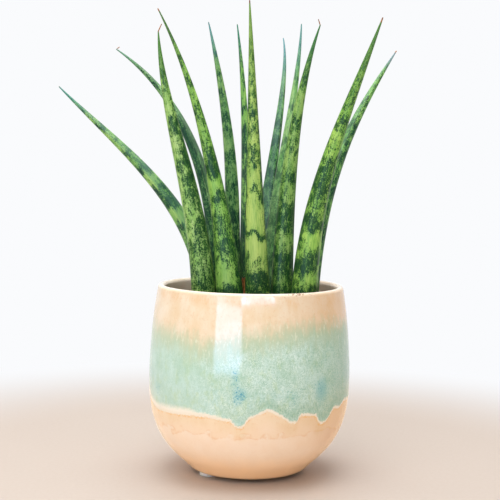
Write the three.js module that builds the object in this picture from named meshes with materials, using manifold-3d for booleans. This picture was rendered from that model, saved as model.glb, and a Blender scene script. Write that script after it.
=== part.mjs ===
// A potted Fernwood Mikado snake plant, in millimetres, +Z up.
// The origin is the centre of the pot's flat underside. The pot stands on three small pads,
// so the surface under it lies at z = -2.5. +Y points away from the side that faces the viewer.

import * as THREE from 'three';
import { mergeVertices } from 'three/addons/utils/BufferGeometryUtils.js';
import Module from 'manifold-3d';

const wasm = await Module();
wasm.setup();

// Driving dimensions

// The pot's outer wall from its flat foot to the edge of its lip, as radius and height.
const WALL_OUTLINE = [
  [35, 0], [37.5, 1.2], [42, 5.5], [48.4, 11.5], [54.9, 19.5], [59.9, 29.5],
  [63, 42], [64.1, 60], [63.4, 77.5], [61.5, 100], [59.2, 115.7],
];
const WALL_THICKNESS = 4.4;
const FLOOR_HEIGHT = 6;
const CORNER_WIDTH = 3; // of the slope where the inner wall meets the floor
const CORNER_HEIGHT = 1;
const UNDERSIDE_MIDDLE_RADIUS = 21; // clear of the pads
const POT_SIDES = 56;
const WALL_STEPS = 12;
const LIP_STEPS = 4;

const PAD_RADIUS = 6.3;
const PAD_THICKNESS = 2.5;
const PAD_RING_RADIUS = 28.5;
const PAD_ANGLES = [212, 357, 100]; // degrees from +X, stuck on by hand and so not quite even
const PAD_SIDES = 20;

const SOIL_HEIGHT = 105; // 13 mm below the lip
const SOIL_BUMP = 0.9;
const SOIL_SIDES = 28;
const SOIL_RINGS = 6;
const CLEARANCE = 0.3; // between neighbouring solids
const MERGE_DISTANCE = 1e-4;

const ROOT_HEIGHT = 86.3; // where each leaf leaves the rhizome
const KNOB_RADIUS = 10.5;
const KNOB_HEIGHT = 6.5; // half of the rhizome's thickness
const KNOB_SIDES = 8;
const KNOB_RINGS = 5;

// Leaves, left to right by their tips. Each grows from its root on the rhizome to its tip along
// a curve with two bends. Width is across the leaf where it is widest, level with the pot's lip.
// Fullness above 0 keeps a leaf wide further up. Channel is the direction, in degrees from +X,
// that its hollow inner face looks in. A hook is the dry end that a tip carries past its last
// green point.
const LEAVES = [
  { root: [-27, 14.5], bends: [[-26, 23.5, 163], [-82.5, 34, 197.5]], tip: [-131, 48, 244],
    width: 13, fullness: 0.23, channel: -45 },
  { root: [-21, 0.5], bends: [[-19.5, 11, 155.5], [-31, 25, 228.5]], tip: [-92, 42, 269],
    width: 11.5, fullness: 0.55, channel: -30, hook: [2.2, -0.5, 1.6] },
  { root: [-28.5, -8.5], bends: [[-29, -14, 171], [-56, -21, 218.5]], tip: [-58.5, -30, 273.5],
    width: 15.6, fullness: 0.42, channel: 105, hook: [2, 0.5, 4.6] },
  { root: [-11, -14], bends: [[-15, -13.5, 150.5], [-27.5, -12, 228.5]], tip: [-60.5, -10, 289.5],
    width: 17, fullness: -0.34, channel: 85 },
  { root: [-13.5, 13], bends: [[-12, 21, 164], [-10, 30, 200]], tip: [-31, 44, 288],
    width: 12.5, fullness: 0.45, channel: 35 },
  { root: [-2.5, 4], bends: [[-4, 8.5, 152], [-2.5, 13.5, 219]], tip: [-11.5, 20, 284],
    width: 11, fullness: 0.21, channel: 200 },
  { root: [6, -13], bends: [[1.5, -19, 153], [0, -26.5, 228.5]], tip: [-3.5, -36, 292],
    width: 15.6, fullness: 0.03, channel: 95 },
  { root: [4, 14.5], bends: [[3, 27.5, 158.5], [25.5, 44, 246]], tip: [19.5, 66, 280.5],
    width: 12, fullness: 0.11, channel: 250 },
  { root: [11.5, 5], bends: [[10, 12.5, 164.5], [29, 21.5, 233.5]], tip: [30.5, 34, 286.5],
    width: 12, fullness: 0.18, channel: 230 },
  { root: [20, -4], bends: [[19.5, -6, 149], [21.5, -8.5, 224.5]], tip: [40.5, -10, 281],
    width: 14.4, fullness: 0.36, channel: 125, hook: [-1.3, 0.3, 3.8] },
  { root: [33.5, -12.5], bends: [[31, -18, 170.5], [52, -25.5, 212.5]], tip: [76.5, -36, 283],
    width: 16.8, fullness: 0.18, channel: 60 },
  { root: [36.5, 3], bends: [[39.5, 13, 168], [55.5, 26.5, 210.5]], tip: [94.5, 44, 271],
    width: 12.8, fullness: 0.58, channel: 215 },
];
const TIP_WIDTH = 0.7;
const WIDEST_HEIGHT = 117;
const ROOT_SHARE = 0.8; // a leaf's width at its root, as a share of its greatest width
const FLATNESS = 0.14; // how much thinner than wide a leaf is at the soil
const CHANNEL_DEPTH = 0.34; // at the soil, as a share of the leaf's half thickness
const CHANNEL_HALF_ANGLE = 58; // degrees, from the middle of the channel to its rim
const LEAF_SIDES = 14;
const LEAF_STEPS = 17;

// One dry, papery scale leaf still stands at the foot of the middle shoot.
const SCALE_FOOT = [-5.4, -3.4, 96];
const SCALE_TIP = [-4.6, -3.2, 122.5];
const SCALE_WIDTH = 7.5;
const SCALE_THICKNESS = 0.9;
const SCALE_TAPER = 0.93; // share of its squared width that it loses by its tip
const SCALE_CUP = 0.9; // how far its edges curl forward
const SCALE_SIDES = 12;
const SCALE_STEPS = 7;

// Helpers

const radians = THREE.MathUtils.degToRad;
const smooth = (x) => THREE.MathUtils.smoothstep(x, 0, 1);

function material(color, roughness, metalness = 0) {
  return new THREE.MeshStandardMaterial({ color, roughness, metalness });
}

// A closed skin over rings of points that run from the bottom of a piece to its top.
function skinOver(rings, bottom, top) {
  const sides = rings[0].length;
  const points = [...rings.flat(), bottom, top];
  const faces = [];
  for (let ring = 0; ring < rings.length - 1; ring += 1) {
    for (let side = 0; side < sides; side += 1) {
      const a = ring * sides + side;
      const b = ring * sides + ((side + 1) % sides);
      faces.push(a, b, b + sides, a, b + sides, a + sides);
    }
  }
  const lastRing = (rings.length - 1) * sides;
  for (let side = 0; side < sides; side += 1) {
    const next = (side + 1) % sides;
    faces.push(points.length - 2, next, side);
    faces.push(points.length - 1, lastRing + side, lastRing + next);
  }
  const geometry = new THREE.BufferGeometry().setFromPoints(points);
  geometry.setIndex(faces);
  return geometry;
}

// Turns a lathe's +Y axis upright.
function latheUpright(outline, sides) {
  const geometry = new THREE.LatheGeometry(outline, sides);
  geometry.rotateX(Math.PI / 2);
  return geometry;
}

function onlyPositions(geometry) {
  const bare = geometry.clone();
  bare.deleteAttribute('normal');
  bare.deleteAttribute('uv');
  return mergeVertices(bare, MERGE_DISTANCE);
}

function toSolid(geometry) {
  const merged = onlyPositions(geometry);
  return new wasm.Manifold(new wasm.Mesh({
    numProp: 3,
    vertProperties: Float32Array.from(merged.attributes.position.array),
    triVerts: Uint32Array.from(merged.index.array),
  }));
}

function toGeometry(solid) {
  const mesh = solid.getMesh();
  const geometry = new THREE.BufferGeometry();
  geometry.setAttribute('position', new THREE.BufferAttribute(mesh.vertProperties, 3));
  geometry.setIndex(new THREE.BufferAttribute(mesh.triVerts, 1));
  return geometry;
}

// Pot

const wallCurve = new THREE.SplineCurve(WALL_OUTLINE.map(([r, z]) => new THREE.Vector2(r, z)));

// The wall's curve moved inwards by a distance, as [radius, height] points from floor to lip.
function insideWall(distance, steps) {
  const points = [];
  for (let step = 0; step <= steps; step += 1) {
    const share = step / steps;
    const point = wallCurve.getPointAt(share);
    const along = wallCurve.getTangentAt(share);
    points.push(new THREE.Vector2(point.x - distance * along.y, point.y + distance * along.x));
  }
  return points;
}

const aboveCorner = (point) => point.y > FLOOR_HEIGHT + CORNER_HEIGHT;

// The radius of that moved curve at a height near the lip, where it is nearly straight.
function wallRadiusAt(height, distance) {
  const points = insideWall(distance, WALL_STEPS);
  const above = points.findIndex((point) => point.y > height);
  const share = (height - points[above - 1].y) / (points[above].y - points[above - 1].y);
  return points[above - 1].clone().lerp(points[above], share).x;
}

function potOutline() {
  const outline = [new THREE.Vector2(0, 0), new THREE.Vector2(UNDERSIDE_MIDDLE_RADIUS, 0)];
  outline.push(...wallCurve.getSpacedPoints(WALL_STEPS));
  const inside = insideWall(WALL_THICKNESS, WALL_STEPS).filter(aboveCorner);
  const outerEdge = outline.at(-1);
  const innerEdge = inside.at(-1);
  const middle = outerEdge.clone().add(innerEdge).multiplyScalar(0.5);
  const lipRadius = outerEdge.distanceTo(innerEdge) / 2;
  for (let step = 1; step < LIP_STEPS; step += 1) {
    const angle = (Math.PI * step) / LIP_STEPS;
    outline.push(new THREE.Vector2(
      middle.x + lipRadius * Math.cos(angle),
      middle.y + lipRadius * Math.sin(angle),
    ));
  }
  outline.push(...inside.reverse());
  outline.push(new THREE.Vector2(outline.at(-1).x - CORNER_WIDTH, FLOOR_HEIGHT));
  outline.push(new THREE.Vector2(0, FLOOR_HEIGHT));
  return outline;
}

function potMesh() {
  const geometry = latheUpright(potOutline(), POT_SIDES);
  return new THREE.Mesh(geometry, material(0xdcb48c, 0.18));
}

// Foot pads

function padMesh(angle) {
  const geometry = new THREE.CylinderGeometry(PAD_RADIUS, PAD_RADIUS, PAD_THICKNESS, PAD_SIDES);
  geometry.rotateX(Math.PI / 2);
  const mesh = new THREE.Mesh(geometry, material(0xe9ebef, 0.6));
  mesh.position.set(
    PAD_RING_RADIUS * Math.cos(radians(angle)),
    PAD_RING_RADIUS * Math.sin(radians(angle)),
    -PAD_THICKNESS / 2,
  );
  return mesh;
}

// Leaves

// How far across a leaf is, at a distance from its tip.
function leafWidth(leaf, fromTip, length) {
  const share = Math.min(fromTip / (length - WIDEST_HEIGHT + ROOT_HEIGHT), 1);
  const taper = share * (1 + leaf.fullness * (1 - share));
  const buried = SOIL_HEIGHT - ROOT_HEIGHT;
  const intoSoil = smooth((fromTip - length + buried) / buried);
  return (TIP_WIDTH + (leaf.width - TIP_WIDTH) * taper) * (1 - (1 - ROOT_SHARE) * intoSoil);
}

// One ring of a leaf: an oval with a channel on its inner face.
function leafRing(centre, along, inward, width, share, grow) {
  const ring = [];
  const forward = inward.clone().addScaledVector(along, -inward.dot(along)).normalize();
  const across = new THREE.Vector3().crossVectors(along, forward);
  const halfWidth = width / 2 + grow;
  const halfThickness = (width / 2) * (1 - FLATNESS * share) + grow;
  for (let side = 0; side < LEAF_SIDES; side += 1) {
    const angle = (2 * Math.PI * side) / LEAF_SIDES;
    const offCentre = Math.min(angle, 2 * Math.PI - angle) / radians(CHANNEL_HALF_ANGLE);
    const dip = offCentre < 1 ? Math.cos((Math.PI / 2) * offCentre) ** 2 : 0;
    const reach = 1 - CHANNEL_DEPTH * share * dip;
    ring.push(centre.clone()
      .addScaledVector(forward, halfThickness * Math.cos(angle) * reach)
      .addScaledVector(across, halfWidth * Math.sin(angle) * reach));
  }
  return ring;
}

function leafCurve(leaf) {
  const root = new THREE.Vector3(leaf.root[0], leaf.root[1], ROOT_HEIGHT);
  const bends = leaf.bends.map((bend) => new THREE.Vector3(...bend));
  return new THREE.CubicBezierCurve3(root, ...bends, new THREE.Vector3(...leaf.tip));
}

function leafGeometry(leaf, grow = 0) {
  const curve = leafCurve(leaf);
  const length = curve.getLength();
  const inward = new THREE.Vector3(
    Math.cos(radians(leaf.channel)),
    Math.sin(radians(leaf.channel)),
    0,
  );
  const rings = [];
  for (let step = 0; step <= LEAF_STEPS; step += 1) {
    const along = step / LEAF_STEPS;
    const fromTip = length * (1 - along);
    const share = 1 - along;
    rings.push(leafRing(
      curve.getPointAt(along),
      curve.getTangentAt(along),
      inward,
      leafWidth(leaf, fromTip, length),
      share,
      grow,
    ));
  }
  const tip = curve.getPointAt(1);
  let end = tip.clone().addScaledVector(curve.getTangentAt(1), TIP_WIDTH / 2 + grow);
  if (leaf.hook) {
    const hook = new THREE.Vector3(...leaf.hook);
    const along = hook.clone().normalize();
    for (const share of [0.5, 1]) {
      const centre = tip.clone().addScaledVector(hook, share);
      rings.push(leafRing(centre, along, inward, TIP_WIDTH, 0, grow));
    }
    end = tip.clone().add(hook).addScaledVector(along, TIP_WIDTH / 2);
  }
  const start = curve.getPointAt(0).addScaledVector(curve.getTangentAt(0), -grow);
  return skinOver(rings, start, end);
}

function leafMesh(leaf) {
  return new THREE.Mesh(leafGeometry(leaf), material(0x6f9e47, 0.45));
}

// Dry scale leaf

function scaleGeometry(grow = 0) {
  const foot = new THREE.Vector3(...SCALE_FOOT);
  const tip = new THREE.Vector3(...SCALE_TIP);
  const rings = [];
  for (let step = 0; step <= SCALE_STEPS; step += 1) {
    const along = step / SCALE_STEPS;
    const centre = foot.clone().lerp(tip, along);
    const halfWidth = (SCALE_WIDTH / 2) * Math.sqrt(1 - SCALE_TAPER * along ** 2) + grow;
    const halfThickness = SCALE_THICKNESS / 2 + grow;
    const ring = [];
    for (let side = 0; side < SCALE_SIDES; side += 1) {
      const angle = (2 * Math.PI * side) / SCALE_SIDES;
      const curl = SCALE_CUP * Math.cos(angle) ** 2;
      ring.push(new THREE.Vector3(
        centre.x + halfWidth * Math.cos(angle),
        centre.y + halfThickness * Math.sin(angle) - curl,
        centre.z,
      ));
    }
    rings.push(ring);
  }
  foot.z -= grow;
  return skinOver(rings, foot, tip.clone().setZ(tip.z + SCALE_THICKNESS / 2));
}

function scaleMesh() {
  return new THREE.Mesh(scaleGeometry(), material(0x8a4a26, 0.8));
}

// Rhizome: a run of knobs, one under each leaf, grown together

function rhizomeSolid(grow = 0) {
  let whole = null;
  for (const leaf of LEAVES) {
    const geometry = new THREE.SphereGeometry(1, KNOB_SIDES, KNOB_RINGS);
    geometry.rotateX(Math.PI / 2);
    geometry.scale(KNOB_RADIUS + grow, KNOB_RADIUS + grow, KNOB_HEIGHT + grow);
    geometry.translate(leaf.root[0], leaf.root[1], ROOT_HEIGHT - CLEARANCE - KNOB_HEIGHT);
    const knob = toSolid(geometry);
    whole = whole ? whole.add(knob) : knob;
  }
  return whole;
}

function rhizomeMesh() {
  return new THREE.Mesh(toGeometry(rhizomeSolid()), material(0xc98a4b, 0.8));
}

// Soil, with a plain hole for each leaf and the space that the rhizome fills

function soilOutline() {
  const outline = insideWall(WALL_THICKNESS + CLEARANCE, WALL_STEPS)
    .filter((point) => aboveCorner(point) && point.y < SOIL_HEIGHT - SOIL_BUMP);
  const edge = wallRadiusAt(SOIL_HEIGHT + 2 * SOIL_BUMP, WALL_THICKNESS + CLEARANCE);
  const floor = FLOOR_HEIGHT + CLEARANCE;
  outline.unshift(
    new THREE.Vector2(0, floor),
    new THREE.Vector2(outline[0].x - CORNER_WIDTH, floor),
  );
  for (let ring = 0; ring < SOIL_RINGS; ring += 1) {
    outline.push(new THREE.Vector2(edge * (1 - ring / SOIL_RINGS), SOIL_HEIGHT));
  }
  outline.push(new THREE.Vector2(0, SOIL_HEIGHT));
  return outline;
}

function soilBump(x, y) {
  return Math.sin(0.23 * x + 1.1) * Math.cos(0.19 * y - 0.4) + 0.6 * Math.sin(0.41 * x - 0.37 * y);
}

function soilMesh() {
  const geometry = onlyPositions(latheUpright(soilOutline(), SOIL_SIDES));
  const places = geometry.attributes.position;
  for (let index = 0; index < places.count; index += 1) {
    if (places.getZ(index) > SOIL_HEIGHT - MERGE_DISTANCE) {
      const bump = SOIL_BUMP * soilBump(places.getX(index), places.getY(index));
      places.setZ(index, SOIL_HEIGHT + bump);
    }
  }
  let solid = toSolid(geometry);
  for (const leaf of LEAVES) {
    solid = solid.subtract(toSolid(leafGeometry(leaf, CLEARANCE)));
  }
  solid = solid.subtract(rhizomeSolid(CLEARANCE)).subtract(toSolid(scaleGeometry(CLEARANCE)));
  return new THREE.Mesh(toGeometry(solid), material(0x4a3527, 0.95));
}

// The whole plant

const plant = new THREE.Group();

function addPiece(mesh, name) {
  mesh.name = name;
  plant.add(mesh);
}

addPiece(potMesh(), 'pot');
PAD_ANGLES.forEach((angle, index) => addPiece(padMesh(angle), `foot_pad_${index + 1}`));
addPiece(soilMesh(), 'soil');
addPiece(rhizomeMesh(), 'rhizome');
LEAVES.forEach((leaf, index) => {
  addPiece(leafMesh(leaf), `leaf_${String(index + 1).padStart(2, '0')}`);
});
addPiece(scaleMesh(), 'dry_scale_leaf');

export default plant;
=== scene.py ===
"""Looks of a potted Fernwood Mikado snake plant.

Sizes are in millimetres and become metres where a mesh is made. +Z is up, the pot's flat
underside is at z = 0, and the viewer looks along +Y. Angles round the pot count from the side
that faces the viewer, positive to the right.
"""

import math
from types import SimpleNamespace

import bpy
import numpy as np
from mathutils import Matrix, Vector


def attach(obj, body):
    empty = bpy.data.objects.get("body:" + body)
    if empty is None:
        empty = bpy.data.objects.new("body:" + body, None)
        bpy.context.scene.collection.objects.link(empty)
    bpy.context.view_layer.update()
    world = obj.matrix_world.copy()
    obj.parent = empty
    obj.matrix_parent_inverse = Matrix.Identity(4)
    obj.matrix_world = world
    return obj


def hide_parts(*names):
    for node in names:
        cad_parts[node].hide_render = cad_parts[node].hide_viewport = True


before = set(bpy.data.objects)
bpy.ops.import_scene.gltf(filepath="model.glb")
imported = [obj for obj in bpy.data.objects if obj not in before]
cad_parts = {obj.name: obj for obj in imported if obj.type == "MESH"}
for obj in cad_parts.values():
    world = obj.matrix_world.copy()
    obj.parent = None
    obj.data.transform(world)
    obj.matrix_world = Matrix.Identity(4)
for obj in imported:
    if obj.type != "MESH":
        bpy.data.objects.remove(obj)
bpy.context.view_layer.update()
MM = 0.001

# Camera, fitted to the photograph's lines

CAMERA_PLACE = (0.0, -760.0, 193.96)
CAMERA_PITCH = 4.0973
CAMERA_YAW = -0.0654
CAMERA_ROLL = 0.942
FOCAL_SHARE = 1193.86 / 500
SENSOR = 36.0

# The white behind the plant, which the far floor fades into

BACKGROUND = "fafbfd"

# Pot, soil and pads, as in the part's source

WALL_OUTLINE = [
    (35, 0), (37.5, 1.2), (42, 5.5), (48.4, 11.5), (54.9, 19.5), (59.9, 29.5),
    (63, 42), (64.1, 60), (63.4, 77.5), (61.5, 100), (59.2, 115.7),
]
WALL_THICKNESS = 4.4
FLOOR_HEIGHT = 6
SOIL_HEIGHT = 105
PAD_RADIUS = 6.3
PAD_THICKNESS = 2.5
PAD_RING_RADIUS = 28.5
PAD_ANGLES = (212, 357, 100)

# How finely they are drawn, and how closely crumbs may lie on the soil

POT_COLUMNS = 340
WALL_STEPS = 150
INNER_STEPS = 70
LIP_STEPS = 14
SOIL_GAP = 0.3
SOIL_RINGS = 50
SOIL_COLUMNS = 150
SOIL_WALL_STEPS = 60
MOST_PER_SQUARE_METRE = 900000.0
PAD_SIDES = 72

# The glaze

# The green glaze's lower edge, as angle and height. It runs into drips and rounded peaks.
DRIP_EDGE = [
    (-180, 44), (-174, 42.4), (-170.5, 40.2), (-167, 40.2), (-165, 43.8), (-158, 46.4),
    (-149, 47), (-145.5, 44.4), (-143, 40.2), (-139.5, 38.8), (-137, 40.8), (-135.4, 45.2),
    (-127, 47.8), (-116, 47.3), (-108.5, 44.8), (-105.5, 42.2), (-102, 41.4), (-99.6, 43.4),
    (-96, 46.6), (-88, 48.5), (-79, 47.3), (-75, 46), (-71, 43.8), (-64, 42.3), (-57.8, 42.2),
    (-44.7, 42.7), (-33.2, 43.6), (-23.7, 43.9), (-15, 42.5), (-9.6, 42.1), (-8.6, 40.6),
    (-7.5, 39.2), (-5.9, 38.6), (-3.9, 38.6), (-2.4, 39.3), (-1.6, 41), (-1, 42.9), (0.6, 44.1),
    (4.5, 45.8), (8.2, 47.9), (9.9, 48.9), (15, 46.4), (20.6, 43), (22.3, 41.1), (24, 40.3),
    (26.4, 40.3), (27.9, 41.4), (28.5, 44.7), (30.4, 45), (40.1, 43.8), (41, 41.4), (42.6, 38.8),
    (44.6, 38.1), (47.2, 38.1), (49.2, 39.2), (53, 44.3), (55.4, 46.2), (61.6, 45.2),
    (67.2, 48.6), (77.3, 47.8), (86, 47.6), (92, 44.8), (95.5, 43), (97.5, 39.8), (100.5, 38.8),
    (103, 40), (104.6, 44.6), (113, 46.8), (121, 48.2), (128, 47), (131.5, 44), (133.5, 41.6),
    (137, 40.6), (139.5, 42), (141, 46.2), (152, 48.2), (161, 47.4), (170, 45.4),
]
# Where the green begins below the tan, as angle and height.
GREEN_TOP = [
    (-180, 92), (-160, 95), (-138, 91), (-115, 94), (-95, 96), (-70.9, 93.7), (-56.7, 92),
    (-46.8, 92.1), (-38.6, 90.6), (-31.5, 89), (-25.2, 88.4), (-19.3, 89.4), (-3.8, 93.7),
    (3.3, 95), (11, 95), (19.5, 96), (28.8, 98.5), (39.2, 98.4), (52, 97.9), (71.3, 96.9),
    (95, 93), (118, 96), (140, 97), (162, 90),
]
# Pools where the glaze ran thick and turned blue: angle, height, half width, half height and
# strength.
BLUE_POOLS = [
    (-4.0, 58, 3.6, 4.8, 1.0), (-6.4, 58, 3, 8, 0.85), (-7.2, 68, 3, 9, 0.66),
    (43.2, 59, 6, 9, 0.8), (23.5, 56, 7, 7, 0.42), (47, 76, 9, 12, 0.25), (-62, 56, 6, 6, 0.5),
    (99, 57, 4, 8, 0.9), (134, 56, 4, 7, 0.8), (-142, 57, 4, 8, 0.9), (-105, 60, 4, 7, 0.7),
    (-171, 59, 4, 7, 0.8),
]
# The wall's radius where the pools are, which turns their widths into angles.
WALL_RADIUS = 63
# How far the green glaze stands out: its coat, the bead along its edge, and more on a drip.
COAT_DEPTH = 0.16
BEAD_DEPTH = 0.22
DRIP_DEPTH = 0.3
# What stands for a place that no drip reaches.
NO_DRIP = -60
# Brown specks crowd round this spot of the lip.
SCORCHED_SPOT = (29.0, -52.0, 117.0)

# Leaves, as in the part's source

ROOT_HEIGHT = 86.3
WIDEST_HEIGHT = 117
TIP_WIDTH = 0.7
ROOT_SHARE = 0.8
FLATNESS = 0.14
CHANNEL_DEPTH = 0.34
CHANNEL_HALF_ANGLE = 58
ROOT_CAP = 3
RIM_HEIGHT = 0.24
GROOVES = 17.0
GROOVE_DEPTH = 0.09
AXIS_STEPS = 240
LEAF_SIDES = 96
LEAF_STEPS = 150

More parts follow.
